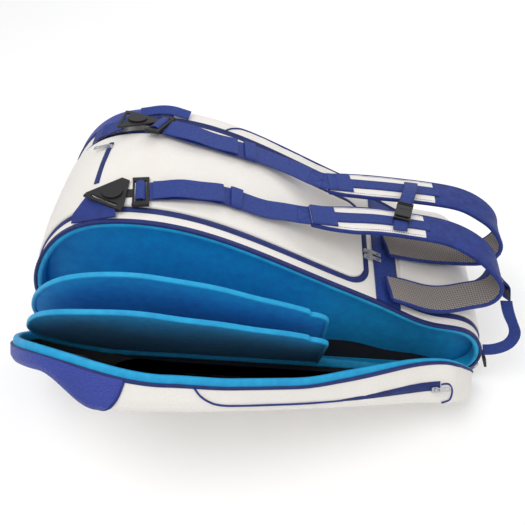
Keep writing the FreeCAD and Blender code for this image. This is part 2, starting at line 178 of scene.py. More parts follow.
def piece(name, patches, material, body, nodes=(), flat_angle=None, near=2e-5):
    """Join patches into one object: doubles merged, so seams and poles close, faces outward."""
    base, pts, quads, uvs = 0, [], [], []
    for p, f, uv in patches:
        pts.append(p)
        quads.append(f + base)
        uvs.append(uv)
        base += len(p)
    pts = np.concatenate(pts) * MM
    quads = np.concatenate(quads)
    uvs = np.concatenate(uvs) * MM
    mesh = bpy.data.meshes.new(name)
    mesh.from_pydata(pts.tolist(), [], quads.tolist())
    layer = mesh.uv_layers.new(name="run")
    layer.data.foreach_set("uv", uvs[quads.reshape(-1)].astype(np.float32).ravel())
    bm = bmesh.new()
    bm.from_mesh(mesh)
    bmesh.ops.remove_doubles(bm, verts=bm.verts, dist=near)
    bmesh.ops.dissolve_degenerate(bm, dist=near * 0.5, edges=bm.edges)
    bmesh.ops.recalc_face_normals(bm, faces=bm.faces)
    bm.to_mesh(mesh)
    bm.free()
    mesh.polygons.foreach_set("use_smooth", np.ones(len(mesh.polygons), bool))
    if flat_angle:
        mesh.set_sharp_from_angle(angle=math.radians(flat_angle))
    mesh.materials.append(material)
    obj = bpy.data.objects.new(name, mesh)
    bpy.context.scene.collection.objects.link(obj)
    if body:
        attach(obj, body)
    if nodes:
        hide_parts(*nodes)
    return obj


def two_sided(top, low):
    """Rows that go out over the top and come back along the underside."""
    return np.concatenate([top, low[:, ::-1]], 1)


def capped(p):
    """A tube's rows with a point row at each end, so that its ends close."""
    first = np.broadcast_to(p[:1].mean(1, keepdims=True), p[:1].shape)
    last = np.broadcast_to(p[-1:].mean(1, keepdims=True), p[-1:].shape)
    return np.concatenate([first, p, last])


def frames(path, across):
    """Along, side and top directions on a path: side is across made square to the path."""
    along = unit(np.gradient(path, axis=0))
    side = np.broadcast_to(np.asarray(across, float), path.shape)
    side = unit(side - along * (side * along).sum(-1, keepdims=True))
    return along, side, np.cross(along, side)


def sweep(path, across, section):
    """Carry a closed section of (side, top) points along a path; uv is length, side."""
    _, side, top = frames(path, across)
    sec = np.asarray(section, float)
    if sec.ndim == 2:
        sec = np.broadcast_to(sec, (len(path),) + sec.shape)
    p = path[:, None] + side[:, None] * sec[..., :1] + top[:, None] * sec[..., 1:]
    run = travel(path)
    uv = np.stack(np.broadcast_arrays(run[:, None], sec[..., 0]), -1)
    uv = np.concatenate([uv[:1], uv, uv[-1:]])
    return grid(capped(p), False, True, uv)


def flat(width, thick, n=20, corner=0.28):
    """Closed flat section, an ellipse with its powers lowered until its corners fill out."""
    a = np.linspace(0, 2 * np.pi, n, endpoint=False) + np.pi / n
    c, s = np.cos(a), np.sin(a)
    w = width / 2 * np.sign(c) * np.abs(c) ** corner
    h = thick / 2 * full(s, 0.55)
    return np.stack([w, h], -1)


def circle(radius, n=10):
    """Round section of n points."""
    a = np.linspace(0, 2 * np.pi, n, endpoint=False)
    return np.stack([radius * np.cos(a), radius * np.sin(a)], -1)


def tube(path, radius, n=10, across=(0, 1, 0.13)):
    """Round cord of a radius along a path."""
    return sweep(path, across, circle(radius, n))


def dashes(path, up, pitch=4.0, size=(2.7, 0.75, 0.45)):
    """A row of stitches: one small block every pitch along a path, lying on it."""
    run = travel(path)
    count = max(int(run[-1] / pitch), 1)
    at = (np.arange(count) + 0.5) * run[-1] / count
    centre = np.stack([np.interp(at, run, path[:, i]) for i in range(3)], -1)
    up = np.broadcast_to(np.asarray(up, float), path.shape)
    up = unit(np.stack([np.interp(at, run, up[:, i]) for i in range(3)], -1))
    way = np.stack([np.interp(at, run, np.gradient(path[:, i])) for i in range(3)], -1)
    way = unit(way - up * (way * up).sum(-1, keepdims=True))
    side = np.cross(up, way)
    corner = np.array([(x, y, z) for x in (-1, 1) for y in (-1, 1) for z in (-1, 1)]) / 2
    corner = corner * size
    p = (centre[:, None] + way[:, None] * corner[:, :1] * (1 - 0.4 * (corner[:, 2:] > 0))
         + side[:, None] * corner[:, 1:2] + up[:, None] * corner[:, 2:])
    quad = np.array([(0, 1, 3, 2), (4, 6, 7, 5), (0, 4, 5, 1), (2, 3, 7, 6), (0, 2, 6, 4),
                     (1, 5, 7, 3)])
    quads = (quad[None] + 8 * np.arange(count)[:, None, None]).reshape(-1, 4)
    return p.reshape(-1, 3), quads, np.zeros((count * 8, 2))


# ---- materials ----
def srgb(r, g, b):
    """Linear colour for a screen colour of 0 to 255."""
    c = np.array([r, g, b], float) / 255
    c = np.where(c <= 0.04045, c / 12.92, ((c + 0.055) / 1.055) ** 2.4)
    return (*c.tolist(), 1.0)


def add(tree, kind, settings=None, **sockets):
    """New node: settings are its properties; sockets go by name (spaces as _) or as i0, i1."""
    node = tree.nodes.new(kind)
    for key, value in (settings or {}).items():
        setattr(node, key, value)
    for key, value in sockets.items():
        if key[0] == "i" and key[1:].isdigit():
            socket = node.inputs[int(key[1:])]
        else:
            socket = node.inputs[key.replace("_", " ")]
        if isinstance(value, bpy.types.NodeSocket):
            tree.links.new(value, socket)
        else:
            socket.default_value = value
    return node


def calc(tree, kind, a, b=0.0, c=0.0):
    """Result of a Math node."""
    return add(tree, "ShaderNodeMath", {"operation": kind}, i0=a, i1=b, i2=c).outputs[0]


def new_group(name, place, amount):
    """Empty cloth group: a place, an amount, a light and a dark colour go in; a colour, a
    height and a roughness come out."""
    number, vector, paint = "NodeSocketFloat", "NodeSocketVector", "NodeSocketColor"
    group = bpy.data.node_groups.new(name, "ShaderNodeTree")
    for key, kind in ((place, vector), (amount, number), ("Light", paint), ("Dark", paint)):
        group.interface.new_socket(key, in_out="INPUT", socket_type=kind)
    for key, kind in (("Colour", paint), ("Height", number), ("Roughness", number)):
        group.interface.new_socket(key, in_out="OUTPUT", socket_type=kind)
    return group, group.nodes.new("NodeGroupInput").outputs


def close_group(group, inputs, shade, height, rough):
    """Send out the light colour mixed towards the dark one by shade, the height and the
    roughness."""
    end = group.nodes.new("NodeGroupOutput").inputs
    colour = add(group, "ShaderNodeMix", {"data_type": "RGBA"}, i0=shade, i6=inputs["Light"],
                 i7=inputs["Dark"]).outputs[2]
    for key, value in (("Colour", colour), ("Height", height), ("Roughness", rough)):
        group.links.new(value, end[key])
    return group


def spread(tree, value, low, high, top):
    """The value from low to high carried to 0 to top, and held at both ends."""
    return add(tree, "ShaderNodeMapRange", None, i0=value, i1=low, i2=high, i3=0.0,
               i4=top).outputs[0]


def build_pebble():
    """Grained coated cloth: cell distances for the grain, a broad noise for the shade."""
    g, i = new_group("pebble_grain", "Place", "Grain")
    cell = add(g, "ShaderNodeTexVoronoi", {"feature": "SMOOTH_F1"}, Vector=i["Place"],
               Scale=i["Grain"], Smoothness=0.4).outputs["Distance"]
    fine = add(g, "ShaderNodeTexNoise", None, Vector=i["Place"], Scale=900.0,
               Detail=2.0).outputs["Fac"]
    broad = add(g, "ShaderNodeTexNoise", None, Vector=i["Place"], Scale=9.0, Detail=4.0,
                Roughness=0.6).outputs["Fac"]
    shade = spread(g, broad, 0.3, 0.72, 1.0)
    pit = spread(g, cell, 0.15, 0.75, 0.45)
    amount = calc(g, "MAXIMUM", calc(g, "MULTIPLY", shade, 0.6), pit)
    height = calc(g, "SUBTRACT", calc(g, "MULTIPLY", fine, 0.25), cell)
    rough = calc(g, "MULTIPLY_ADD", cell, 0.25, 0.42)
    return close_group(g, i, amount, height, rough)


def build_weave():
    """Plain weave in any direction: products of sines of the place, with a slub noise."""
    g, i = new_group("plain_weave", "Place", "Threads")
    at = add(g, "ShaderNodeSeparateXYZ", None, Vector=i["Place"]).outputs
    wave = [calc(g, "SINE", calc(g, "MULTIPLY", at[k], i["Threads"])) for k in range(3)]
    turn = [calc(g, "COSINE", calc(g, "MULTIPLY", at[k], i["Threads"])) for k in range(3)]
    total = calc(g, "ADD", calc(g, "MULTIPLY", wave[0], turn[1]),
                 calc(g, "ADD", calc(g, "MULTIPLY", wave[1], turn[2]),
                      calc(g, "MULTIPLY", wave[2], turn[0])))
    height = calc(g, "MULTIPLY_ADD", total, 0.3, 0.5)
    slub = add(g, "ShaderNodeTexNoise", None, Vector=i["Place"], Scale=60.0, Detail=5.0,
               Roughness=0.65).outputs["Fac"]
    shade = spread(g, slub, 0.3, 0.7, 0.7)
    amount = calc(g, "ADD", shade, calc(g, "MULTIPLY", height, -0.35))
    amount = calc(g, "ADD", amount, 0.22)
    rough = calc(g, "MULTIPLY_ADD", slub, 0.3, 0.5)
    return close_group(g, i, amount, height, rough)


def build_ribs():
    """Webbing: ribs across the run, a fine lengthwise split, and a firmer selvedge."""
    g, i = new_group("webbing_ribs", "Run", "Half Width")
    at = add(g, "ShaderNodeSeparateXYZ", None, Vector=i["Run"]).outputs
    lean = calc(g, "PINGPONG", at[1], 0.0016)
    rib = calc(g, "SINE", calc(g, "MULTIPLY", calc(g, "ADD", at[0], lean), 3300.0))
    split = calc(g, "COSINE", calc(g, "MULTIPLY", at[1], 3900.0))
    height = calc(g, "MULTIPLY_ADD", rib, 0.32, calc(g, "MULTIPLY_ADD", split, 0.18, 0.5))
    edge = spread(g, calc(g, "ABSOLUTE", at[1]), calc(g, "SUBTRACT", i["Half Width"], 0.0032),
                  calc(g, "SUBTRACT", i["Half Width"], 0.0026), 1.0)
    slub = add(g, "ShaderNodeTexNoise", None, Vector=i["Run"], Scale=160.0, Detail=4.0).outputs[0]
    amount = calc(g, "MULTIPLY_ADD", height, -0.55, calc(g, "ADD", calc(g, "MULTIPLY", slub, 0.7),
                                                        calc(g, "MULTIPLY", edge, 0.3)))
    amount = calc(g, "ADD", amount, 0.25)
    rough = calc(g, "MULTIPLY_ADD", slub, 0.3, 0.42)
    return close_group(g, i, amount, height, rough)


def build_holes():
    """Spacer mesh: slanting rows of open cells, darker in the holes."""
    g, i = new_group("spacer_mesh", "Run", "Pitch")
    turn = add(g, "ShaderNodeMapping", None, Vector=i["Run"], Rotation=(0, 0, 0.6)).outputs[0]
    at = add(g, "ShaderNodeSeparateXYZ", None, Vector=turn).outputs
    a = calc(g, "SINE", calc(g, "MULTIPLY", at[0], i["Pitch"]))
    b = calc(g, "SINE", calc(g, "MULTIPLY", at[1], calc(g, "MULTIPLY", i["Pitch"], 0.62)))
    cell = calc(g, "MULTIPLY", a, b)
    hole = spread(g, cell, 0.1, 0.5, 1.0)
    fuzz = add(g, "ShaderNodeTexNoise", None, Vector=i["Run"], Scale=700.0, Detail=3.0).outputs[0]
    amount = calc(g, "MULTIPLY_ADD", fuzz, 0.35, calc(g, "MULTIPLY", hole, 0.75))
    height = calc(g, "SUBTRACT", calc(g, "MULTIPLY", fuzz, 0.3), hole)
    rough = calc(g, "MULTIPLY_ADD", hole, 0.1, 0.68)
    return close_group(g, i, amount, height, rough)


GROUPS = {"pebble": build_pebble(), "weave": build_weave(), "ribs": build_ribs(),
          "holes": build_holes()}


def finish(name, group, light, dark, amount, bump, depth, sheen=0.0, metallic=0.0,
           run=False):
    """A material from one of the groups, bump depth in metres, sheen for cloth."""
    m = bpy.data.materials.new(name)
    m.use_nodes = True
    t = m.node_tree
    t.nodes.clear()
    coord = t.nodes.new("ShaderNodeTexCoord")
    place = coord.outputs["UV"] if run else coord.outputs["Object"]
    g = t.nodes.new("ShaderNodeGroup")
    g.node_tree = GROUPS[group]
    t.links.new(place, g.inputs[0])
    g.inputs[1].default_value = amount
    g.inputs[2].default_value = light
    g.inputs[3].default_value = dark
    b = add(t, "ShaderNodeBump", None, Strength=bump, Distance=depth, Height=g.outputs["Height"])
    shader = add(t, "ShaderNodeBsdfPrincipled", None, Base_Color=g.outputs["Colour"],
                 Roughness=g.outputs["Roughness"], Normal=b.outputs[0], Metallic=metallic)
    shader.inputs["Sheen Weight"].default_value = sheen
    shader.inputs["Sheen Roughness"].default_value = 0.45
    out = t.nodes.new("ShaderNodeOutputMaterial")
    t.links.new(shader.outputs[0], out.inputs[0])
    return m


WHITE = finish("white_coated_cloth", "pebble", srgb(234, 230, 225), srgb(212, 207, 201),
               620.0, 0.35, 0.0005, 0.05)
NAVY = finish("navy_webbing", "ribs", srgb(12, 54, 142), srgb(5, 27, 98), 0.021, 0.7, 0.0005,
              0.03, run=True)
NAVY_SLIM = finish("navy_slim_webbing", "ribs", srgb(12, 52, 138), srgb(5, 26, 95), 0.0115,
                   0.7, 0.0005, 0.03, run=True)
TAPE = finish("navy_zip_tape", "weave", srgb(10, 38, 112), srgb(4, 19, 74), 3600.0, 0.5,
              0.0003, 0.03)
BIND = finish("navy_binding", "weave", srgb(10, 46, 132), srgb(5, 25, 92), 3000.0, 0.5,
              0.0003, 0.03)
BLUE = finish("blue_lining", "weave", srgb(0, 160, 222), srgb(0, 126, 196), 2600.0, 0.25,
              0.0002, 0.05)
BRIGHT = finish("bright_binding", "weave", srgb(0, 164, 214), srgb(0, 132, 188), 2600.0, 0.3,
                0.0003, 0.05)
# black cloth inside the trays; on the fold sheets, its band up the walls is painted shade
BLACK_AND_SHADE = finish("black_lining", "weave", srgb(30, 32, 40), srgb(14, 15, 20), 2600.0, 0.3,
               0.0003, 0.1)
PATCH = finish("blue_grained_patch", "pebble", srgb(48, 68, 164), srgb(22, 37, 118), 400.0, 0.8,
               0.0016, 0.03)
MESH = finish("grey_spacer_mesh", "holes", srgb(152, 144, 140), srgb(72, 66, 64), 1250.0, 0.8,
              0.0012, 0.08, run=True)
PLASTIC = finish("black_moulded_plastic", "pebble", srgb(19, 19, 23), srgb(8, 8, 11), 1500.0,
                 0.12, 0.0002)
SILVER = finish("silver_zip_metal", "pebble", srgb(206, 208, 212), srgb(150, 152, 158), 900.0,
                0.08, 0.0001, metallic=1.0)
NAVY_THREAD = finish("navy_thread", "weave", srgb(40, 66, 150), srgb(22, 38, 108), 5200.0, 0.4,
                     0.0002)


# ---- body ----
def clear_fold(p, side, inner, room=22.3):
    """Draw cloth near a tray's fold inward across the bag until it clears the round room
    that the fold needs: y is scaled between inner and the room's edge."""
    out = p.copy()
    ends = (1 - smooth(p[..., 0], 335, 364)) * (1 - smooth(-p[..., 0], 285, 335))
    reach = (room * ends) ** 2 - (p[..., 2] - HINGE_Z) ** 2
    edge = HALF - np.sqrt(np.clip(reach, 0, None))
    y = side * p[..., 1]
    share = np.clip((y - inner) / (HALF - inner), 0, None)
    out[..., 1] = np.where(y > inner, side * (inner + share * (edge - inner)), p[..., 1])
    return out


def around(section):
    """Carry a closed section of (y, grow) points round the whole outline."""
    sec = np.asarray(section, float)
    x = RING[:, None, 0] + RING_N[:, None, 0] * sec[:, 1]
    z = RING[:, None, 1] + RING_N[:, None, 1] * sec[:, 1]
    y = np.broadcast_to(sec[:, 0], x.shape)
    return np.stack([x, y, z], -1)


def seat(p, floor):
    """Nothing lower than floor."""
    p = p.copy()
    p[..., 2] = np.maximum(p[..., 2], floor)
    return p


# white shell: outer skin, turned edges, inner skin
ys = np.linspace(-131, 134, 84)
outer = [(y, 0.0) for y in ys]
inner = [(134, -4), (120, -4.1), (96, -4.1), (0, -4.1), (-104, -4.1), (-120, -1.6), (-131, -1.2)]
p = around(outer + inner)
top = smooth(p[..., 2], 110, 200) * (np.arange(p.shape[1]) < len(ys))
soft = ripple(p[..., 0], p[..., 1] * 1.6, 0.7) * 1.1 * top
p[..., 2] += soft * np.clip((130 - np.abs(p[..., 1])) / 60, 0, 1)
p = clear_fold(clear_fold(p, -1, 104.8), 1, 95.8)
piece("bag_shell", [grid(p, True, True)], WHITE, "bag",
      ("near_gusset", "far_gusset", "middle_shell"), 50)

# rim tapes with the zip's coil on their edge
coil = [(0.3, -2.6), (0.5, -0.6), (0.2, 1.2), (-0.8, 2.0), (-2.0, 1.6), (-2.6, 1.0), (-7.6, 0.8),
        (-7.8, 0.05), (-3.2, 0.03), (-3.0, -2.6), (-1.4, -3.0)]
for side, name in ((-1, "near"), (1, "far")):
    sec = [(side * (HALF - 0.3 + a), g) for a, g in coil]
    p = clear_fold(around(sec), side, 104.8 if side < 0 else 95.8)
    piece(name + "_rim", [grid(p, True, True)], TAPE, "bag",
          (name + "_rim_tape",), 60)

# bright padded edge inside the near mouth
a = np.linspace(0, 2 * np.pi, 26, endpoint=False)
c, s_ = np.cos(a), np.sin(a)
sec = np.stack([-122.6 + 11.4 * full(c, 0.6),
                -7.6 + 5.4 * full(s_, 0.6)], -1)
p = around(sec)
p[..., 1] += 0.6 * ripple(p[..., 0] * 1.9, p[..., 2] * 1.9, 0.9)
p = clear_fold(p, -1, 110)
piece("near_mouth_roll", [grid(p, True, True)], BRIGHT, "bag",
      ("near_gusset_lining",))


def wall(y_face, y_back, grow, puff, seed, rings=34):
    """Closed padded wall: the outline scaled to its middle, the face puffed along Y."""
    base = RING + RING_N * grow
    r = np.sin(np.linspace(0, np.pi / 2, rings))[:, None, None]
    flat2 = MIDDLE + (base - MIDDLE)[None] * r
    lift = puff * (1 - r[..., 0] ** 2) ** 0.6
    lift = lift + 0.9 * ripple(flat2[..., 0], flat2[..., 1], seed) * (1 - r[..., 0] ** 4)
    sign = math.copysign(1, y_face - y_back)
    face = np.stack([flat2[..., 0], y_face + sign * lift, flat2[..., 1]], -1)
    back = np.stack([flat2[..., 0], np.full(flat2[..., 0].shape, y_back), flat2[..., 1]], -1)
    return np.concatenate([face, back[::-1]])


for name, p in (("near", wall(-109.6, -105.0, -4.4, 2.2, 0.3)),
                ("far", wall(95.4, 90.6, -4.4, 1.0, 1.3))):
    piece(name + "_wall", [grid(p, False, True)], BLUE, "bag",
                    (name + "_back_wall",), 60)


# ---- lid and pockets on top ----
def cover(s_far, x_end, y0, y1, radius, base, crown, edge, rows=110, cols=46, seed=0.2,
          waves=0.7):
    """Panel lying on the outline between two places: across it the edges roll down in a
    quarter circle, its middle crowns, and its corners at x_end are rounded."""
    s_end = float(s_top(x_end))
    u = 1 - np.cos(np.linspace(0, np.pi / 2, rows))
    s = s_end + (s_far - s_end) * u
    mid, half = (y0 + y1) / 2, (y1 - y0) / 2
    in_end = np.clip(1 - (s - s_end) / radius, 0, 1)
    width = half - radius * (1 - np.sqrt(1 - in_end ** 2))
    v = np.sin(np.linspace(-np.pi / 2, np.pi / 2, cols))
    y = mid + width[:, None] * v
    away = np.minimum(width[:, None] * (1 - np.abs(v)), (s - s_end)[:, None])
    roll = np.sqrt(np.clip(1 - (1 - np.clip(away / edge, 0, 1)) ** 2, 0, 1))
    bulge = np.clip(away / 60, 0, 1) ** 0.7
    h = base * roll + crown * bulge
    h = h + waves * ripple(s[:, None], y * 1.7, seed) * bulge
    s2 = np.broadcast_to(s[:, None], y.shape)
    top = lay(s2, y, 0.5 + h)
    low = lay(s2, y, np.full(y.shape, 0.25))
    layers = two_sided(top, low)
    first = layers[:1].copy()
    first[:, :cols] = low[:1]
    last = layers[-1:].copy()
    last[:, :cols] = low[-1:]
    return np.concatenate([first, layers, last])


S_LOW = float(np.interp(150, UP[HEAD_I - 60:HEAD_I + 30, 1][::-1],
                        UP_S[HEAD_I - 60:HEAD_I + 30][::-1]))
p = cover(S_LOW, 160, -100, 86, 34, 4.2, 3.6, 4.5)
piece("lid", [grid(p, False, True)], WHITE, "bag", ("lid_panel",), 60)


def lid_line(off, radius):
    """The lid's edge line moved outward by off, as (length, y) from head, round the narrow
    end's two corners, to head again."""
    s_end = float(s_top(160)) - off
    y0, y1 = -100 - off, 86 + off
    q = np.linspace(0, np.pi / 2, 14)
    near = np.stack([s_end + radius - radius * np.sin(q), y0 + radius - radius * np.cos(q)], -1)
    far = np.stack([s_end + radius - radius * np.cos(q), y1 - radius + radius * np.sin(q)], -1)
    line = np.concatenate([[(S_LOW, y0)], near, far, [(S_LOW, y1)]])
    return even(line, 420)


def strip(line, section):
    """Carry a section of (sideways, height) points along a line drawn on the outline."""
    way = unit(np.gradient(line, axis=0))
    side = np.stack([-way[:, 1], way[:, 0]], -1)
    sec = np.asarray(section, float)
    at = line[:, None] + side[:, None] * sec[:, :1]
    p = lay(at[..., 0], at[..., 1], sec[:, 1])
    run = travel(line)
    uv = np.stack(np.broadcast_arrays(run[:, None], sec[:, 0]), -1)
    return grid(capped(p), False, True, np.concatenate([uv[:1], uv, uv[-1:]]))


def zip_section(width, high=1.5, coil_high=2.4):
    """Half-round coil between two flat tape edges."""
    w = width / 2
    return [(-w, 0.1), (-w, high * 0.7), (-w + 1, high), (-2.2, high), (-1.6, coil_high * 0.8),
            (0, coil_high), (1.6, coil_high * 0.8), (2.2, high), (w - 1, high), (w, high * 0.7),
            (w, 0.1), (0, 0.05)]


piece("lid_zip", [strip(lid_line(6, 40), zip_section(11))], TAPE, "bag",
      ("lid_zip_tape",), 60)

# pocket on the head's top, closed by a zip across
line = spline([(s_top(-277), 58.0), (s_top(-279), 30.0), (s_top(-280), 0.0), (s_top(-279), -48.0)],
              60)
piece("head_pocket_zip", [strip(line, [(a, g + 8.2) for a, g in zip_section(8.5, 1.4, 2.0)])],
      TAPE, "bag", ("head_pocket_tape",), 60)

# pocket over the narrow end
s_a, s_b = float(s_top(232)), float(np.interp(100, UP[:END_I + 40, 1], UP_S[:END_I + 40]))
mid_y, half_y = -7.0, 93.0
s = np.linspace(s_b, s_a, 70)
v = np.sin(np.linspace(-np.pi / 2, np.pi / 2, 44))
y = np.broadcast_to(mid_y + half_y * v, (70, 44))
away = np.minimum(half_y * (1 - np.abs(v))[None], np.minimum(s - s_b, s_a - s)[:, None])
h = 3.6 * np.sqrt(np.clip(1 - (1 - np.clip(away / 4, 0, 1)) ** 2, 0, 1))
h = h + 2.6 * np.clip(away / 45, 0, 1) ** 0.7 + 0.6 * ripple(s[:, None], y, 2.4) * (away > 4)
ss = np.broadcast_to(s[:, None], y.shape)
tops, lows = lay(ss, y, 0.5 + h), lay(ss, y, np.full(y.shape, 0.3))
layers = two_sided(tops, lows)
piece("neck_pocket", [grid(capped(layers), False, True)], WHITE, "bag",
      ("neck_pocket_panel",), 60)
line = even(np.array([(s_a, -106), (s_b - 6, -106), (s_b - 6, 92), (s_a, 92)], float), 240)
piece("neck_pocket_zip", [strip(line, zip_section(11))], TAPE, "bag",
      ("neck_pocket_tape",), 60)

# band that anchors the shoulder pads' lower ends
line = np.stack([np.full(120, float(s_top(203))), np.linspace(-126, 126, 120)], -1)
sec = [(-25, 0.2), (-25, 2.4), (-24, 3.1), (24, 3.1), (25, 2.4), (25, 0.2)]
piece("anchor_band_cloth", [strip(line, sec)], NAVY, "bag", ("anchor_band",), 40)


# ---- trays ----
WALL_Q = np.array([0.0, 0.5, 0.75, 0.9, 1.0, 1.3])
WALL_G = np.array([0.0, -1.0, -5.2, -10.5, -17.0, -38.0])
WALL_D = np.array([0.8, 25.5, 36.2, 40.2, 42.0, 42.6])


def tray_curl(p):
    """The near tray's rim bends towards the bag at its two ends, and its head end reaches a
    little further along."""
    x, z = p[..., 0], p[..., 2]
    high = np.clip((z - HINGE_Z) / 110, 0, 1)
    deep = np.clip((-HALF - p[..., 1]) / DEPTH, 0, 1)
    rim = 30 * smooth(-x, 130, 340) + 34 * smooth(x, 60, 300) - 8 * smooth(x, 310, 390)
    rim = rim - 4 * smooth(130 - np.abs(x), 0, 90)
    panel = 44 * smooth(-x, 225, 315) + 3 * smooth(x, 60, 300)
    out = p.copy()
    out[..., 1] += high * (rim * (1 - deep) + panel * deep)
    out[..., 0] -= (10 * smooth(-x, 250, 390) + 34 * smooth(x, 270, 390)) * high
    return out


def set_tray(p, side, floor=0.4):
    """A tray drawn closed on the near side, put where it stands: the near one leans out and
    is flattened on the floor, the far one is closed and mirrored."""
    out = p.copy()
    if side < 0:
        out = tray_curl(out)
        y, z = out[..., 1] + HALF, out[..., 2] - HINGE_Z
        out[..., 1] = -HALF + y * math.cos(OPEN) - z * math.sin(OPEN)
        out[..., 2] = HINGE_Z + y * math.sin(OPEN) + z * math.cos(OPEN)
        return seat(out, floor)
    out[..., 1] *= -1
    return seat(out, 0.3)


def tray_rows(grow, depth):
    """Rows round the outline for matched lists of grow and depth behind the rim."""
    g, d = np.asarray(grow, float), np.asarray(depth, float)
    x = RING[None, :, 0] + RING_N[None, :, 0] * g[:, None]
    z = RING[None, :, 1] + RING_N[None, :, 1] * g[:, None]
    y = np.broadcast_to((-HALF - d)[:, None], x.shape)
    return np.stack([x, y, z], -1)


def tray_panel(grow, depth, puff, seed, rings=26):
    """Rows from the panel's edge to its middle, bulged outward by puff."""
    base = RING + RING_N * grow
    r = np.cos(np.linspace(0, np.pi / 2, rings))[:, None, None]
    f = MIDDLE + (base - MIDDLE)[None] * r
    away = 1 - r[..., 0]
    y = -HALF - depth - puff * (1 - r[..., 0] ** 2) - 1.4 * ripple(f[..., 0], f[..., 1], seed) \
        * np.clip(away * 6, 0, 1)
    return np.stack([f[..., 0], y, f[..., 1]], -1)


def tray_shell(side):
    q = np.linspace(0, 1, 22)
    g, d = np.interp(q, WALL_Q, WALL_G), np.interp(q, WALL_Q, WALL_D)
    soft = np.sin(q * np.pi)[:, None] * ripple(RING[:, 0] * 1.7, RING[:, 1], 0.4)[None] * 0.8
    out = tray_rows(g, d)
    out[..., 0] += soft * RING_N[:, 0]
    out[..., 2] += soft * RING_N[:, 1]
    inn = tray_rows(g[::-1] - np.interp(q[::-1], [0, 0.3, 1], [1.2, 2.4, 2.6]),
                    np.maximum(d[::-1] - 2.4, 0.8))
    panel_out = tray_panel(-17, 42, 0.6 if side < 0 else -1.0, 0.9)[::-1]
    panel_in = tray_panel(-19.6, 39.6, 0.2 if side < 0 else -1.0, 0.9)
    return set_tray(np.concatenate([panel_out, out[::-1], inn[::-1], panel_in]), side)


def flexes(obj):
    """Cloth of the near tray: the object is given a mesh of its own."""
    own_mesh(obj)
    return obj


for side, name in ((-1, "near"), (1, "far")):
    body = name + "_tray"
    made = [piece(name + "_tray_cloth", [grid(tray_shell(side), False, True)], WHITE, body,
                  (name + "_tray_shell",), 60)]
    sec = [(-2.2, 0.3), (0.0, 0.2), (1.4, 0.7), (2.0, 1.8), (1.4, 3.0), (0.9, 3.6), (0.8, 5.4),
           (0.05, 5.6), (0.02, 1.6), (-2.2, 1.4)]
    p = tray_rows(*np.array(sec).T)
    thin = np.clip(-HALF - 2.0 - p[..., 1], 0, None)
    p[..., 1] += thin * 0.6 * smooth(p[..., 0], 120, 330)
    p = set_tray(p, side)
    made.append(piece(name + "_tray_rim", [grid(p, True, True)], TAPE, body,
                      (name + "_tray_rim_tape",), 60))
    g = -6.8 + 5.0 * full(c, 0.6)
    d = -2.2 + 8.6 * full(s_, 0.6)
    p = tray_rows(g, d)
    proud = np.clip(p[..., 1] + HALF, 0, None)
    p[..., 1] -= proud * 0.75 * smooth(p[..., 0], 120, 330)
    p = set_tray(p, side, 4.4)
    made.append(piece(name + "_tray_roll", [grid(p, True, True)], BRIGHT, body,
                      (name + "_tray_edge_binding",)))
    q = np.linspace(0.18, 1, 16)
    g, d = np.interp(q, WALL_Q, WALL_G), np.interp(q, WALL_Q, WALL_D)
    layers = [tray_panel(-20.0, 38.6, -0.2, 0.9)[::-1], tray_rows(g - 3.0, d - 3.2)[::-1],
             tray_rows(g - 4.4, d - 4.6), tray_panel(-21.6, 37.2, -0.2, 0.9)]
    p = set_tray(np.concatenate(layers), side, 4.6)
    made.append(piece(name + "_tray_inside", [grid(p, False, True)], BLACK_AND_SHADE, body,
                      ("near_tray_lining",) if side < 0 else (), 60))
    if side < 0:
        for obj in made:
            flexes(obj)


def on_tray(s, q, lift):
    """Closed-tray place at length s along the outline and share q across the tray's wall,
    raised by lift off the cloth."""
    s, q = np.broadcast_arrays(np.asarray(s, float), np.asarray(q, float))
    g, d = np.interp(q, WALL_Q, WALL_G), np.interp(q, WALL_Q, WALL_D)
    dg = np.interp(q + 0.04, WALL_Q, WALL_G) - np.interp(q - 0.04, WALL_Q, WALL_G)
    dd = np.interp(q + 0.04, WALL_Q, WALL_D) - np.interp(q - 0.04, WALL_Q, WALL_D)
    size = np.maximum(np.hypot(dg, dd), 1e-9)
    p = lay(s, 0.0, g + lift * dd / size)
    p[..., 1] = -HALF - d + lift * dg / size
    return p


# grained patch round the tray's head end
q = np.linspace(0.03, 1.25, 26)
edge_x = np.interp(q, [0, 0.3, 0.6, 0.85, 1.05, 1.17, 1.25],
                   [-186, -190, -197, -208, -224, -246, -285])
s_near = s_top(edge_x)
s_low = float(UP_S[HEAD_I]) + 120
u = np.linspace(0, 1, 120)[:, None]
ss = s_near + (s_low - s_near) * u
edge_in = np.minimum(np.minimum(u * 200, (1 - u) * 200), np.minimum(q - 0.0, 1.28 - q) * 30)
lift = 0.5 + 1.1 * np.clip(edge_in, 0, 1)
upper = on_tray(ss, q[None], lift)
lower = on_tray(ss, q[None], 0.2)
patch_rows = two_sided(upper, lower)
flexes(piece("corner_patch", [grid(capped(set_tray(patch_rows, -1, 0.15)), False, True)], PATCH,
             "near_tray", ("near_corner_patch",), 60))
piece("far_corner_patch", [grid(capped(set_tray(patch_rows, 1)), False, True)], PATCH,
      "far_tray", (), 60)


def tray_line(side, xs, qs, count=90, lift=1.0):
    """Line on a tray's wall through places over x, at shares q across it."""
    line = spline(np.stack([s_top(xs), np.asarray(qs, float) * 60], -1), count)
    p = on_tray(line[:, 0], line[:, 1] / 60, lift)
    return set_tray(p, side, 1.2)


